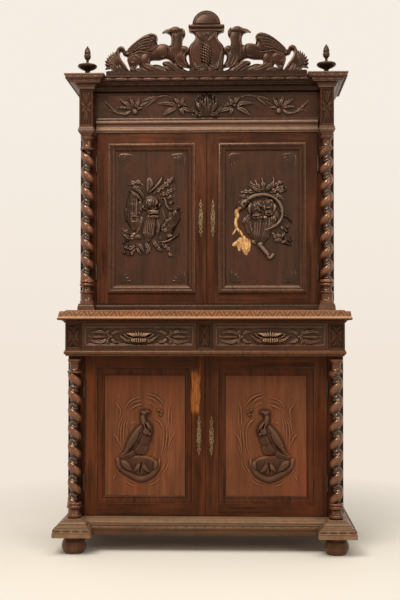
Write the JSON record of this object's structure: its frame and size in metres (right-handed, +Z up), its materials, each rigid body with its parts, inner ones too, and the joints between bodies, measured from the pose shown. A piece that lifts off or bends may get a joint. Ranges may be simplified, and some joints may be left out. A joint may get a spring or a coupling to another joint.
{
  "type": "two-body carved cupboard",
  "caption": "Two-body carved oak buffet with doors above and below a drawer row, twisted columns, deep cornice and pierced crest.",
  "frame": {"origin": "middle of the footprint, on the floor", "axes": "+X to the viewer's right, +Y to the back, +Z up"},
  "size_m": [1.316, 0.58, 2.45],
  "materials": {
    "case_oak": "dark stained oak, waxed, semi-gloss",
    "lower_oak": "red-brown stained oak, waxed",
    "base_oak": "faded, dusty stained oak",
    "carved_oak": "carved, dark in the hollows, rubbed on the ridges",
    "turned_oak": "turned and polished, glossy",
    "inner_wood": "raw, aged inner boards",
    "old_brass": "dull old brass",
    "iron": "dark aged steel"
  },
  "bodies": {
    "carcass": {"bun_feet": "turned_oak", "base_frame": "inner_wood", "base_mouldings": "base_oak", "bottom_boards": "inner_wood", "case_sides": "case_oak", "back_boards": "inner_wood", "face_frames": "case_oak", "shelves": "inner_wood", "top_board": "inner_wood", "drawer_floor": "inner_wood", "drawer_guides": "inner_wood", "drawer_rail_moulding": "case_oak", "drawer_row_blocks": "iron", "column_capitals": "case_oak", "waist_board": "case_oak", "lower_left_column": "turned_oak", "lower_right_column": "turned_oak", "upper_left_column": "turned_oak", "upper_right_column": "turned_oak", "upper_base_moulding": "case_oak", "architrave": "case_oak", "frieze_board": "case_oak", "frieze_blocks": "iron", "frieze_carving": "carved_oak", "cornice": "case_oak", "finials": "turned_oak", "crest_rail": "carved_oak", "crest_plaque": "carved_oak", "crest_griffins": "carved_oak", "case_hinge_halves": "iron"},
    "lower_left_door": {"lower_left_door_frame": "lower_oak", "lower_left_door_panel": "lower_oak", "lower_left_door_escutcheon": "old_brass", "lower_left_door_hinge_halves": "iron", "lower_left_door_carving": "carved_oak"},
    "lower_right_door": {"lower_right_door_frame": "lower_oak", "lower_right_door_panel": "lower_oak", "lower_right_door_escutcheon": "old_brass", "lower_right_door_hinge_halves": "iron", "lower_right_door_carving": "carved_oak", "lower_lock_case": "iron"},
    "upper_left_door": {"upper_left_door_frame": "case_oak", "upper_left_door_panel": "case_oak", "upper_left_door_escutcheon": "old_brass", "upper_left_door_hinge_halves": "iron", "upper_left_door_carving": "carved_oak"},
    "upper_right_door": {"upper_right_door_frame": "case_oak", "upper_right_door_panel": "case_oak", "upper_right_door_escutcheon": "old_brass", "upper_right_door_hinge_halves": "iron", "upper_right_door_carving": "carved_oak", "upper_lock_case": "iron"},
    "lower_bolt": {"lower_lock_bolt": "iron"},
    "upper_bolt": {"upper_lock_bolt": "iron"},
    "left_drawer": {"left_drawer_front": "case_oak", "left_drawer_box": "inner_wood", "left_drawer_pull": "carved_oak"},
    "right_drawer": {"right_drawer_front": "case_oak", "right_drawer_box": "inner_wood", "right_drawer_pull": "carved_oak"}
  },
  "joints": [
    {"name": "lower_left_door_hinge", "type": "hinge", "parent": "carcass", "child": "lower_left_door", "pos_m": [-0.539, -0.1655, 0.5085], "axis": [0, 0, -1], "range_deg": [0, 90]},
    {"name": "lower_right_door_hinge", "type": "hinge", "parent": "carcass", "child": "lower_right_door", "pos_m": [0.539, -0.1655, 0.5085], "axis": [0, 0, 1], "range_deg": [0, 90]},
    {"name": "upper_left_door_hinge", "type": "hinge", "parent": "carcass", "child": "upper_left_door", "pos_m": [-0.514, 0.0155, 1.4955], "axis": [0, 0, -1], "range_deg": [0, 90]},
    {"name": "upper_right_door_hinge", "type": "hinge", "parent": "carcass", "child": "upper_right_door", "pos_m": [0.514, 0.0155, 1.4955], "axis": [0, 0, 1], "range_deg": [0, 90]},
    {"name": "left_drawer_slide", "type": "slide", "parent": "carcass", "child": "left_drawer", "axis": [0, -1, 0], "range_m": [0, 0.3]},
    {"name": "right_drawer_slide", "type": "slide", "parent": "carcass", "child": "right_drawer", "axis": [0, -1, 0], "range_m": [0, 0.3]},
    {"name": "lower_bolt_slide", "type": "slide", "parent": "lower_right_door", "child": "lower_bolt", "axis": [-1, 0, 0], "range_m": [0, 0.012]},
    {"name": "upper_bolt_slide", "type": "slide", "parent": "upper_right_door", "child": "upper_bolt", "axis": [-1, 0, 0], "range_m": [0, 0.012]}
  ]
}
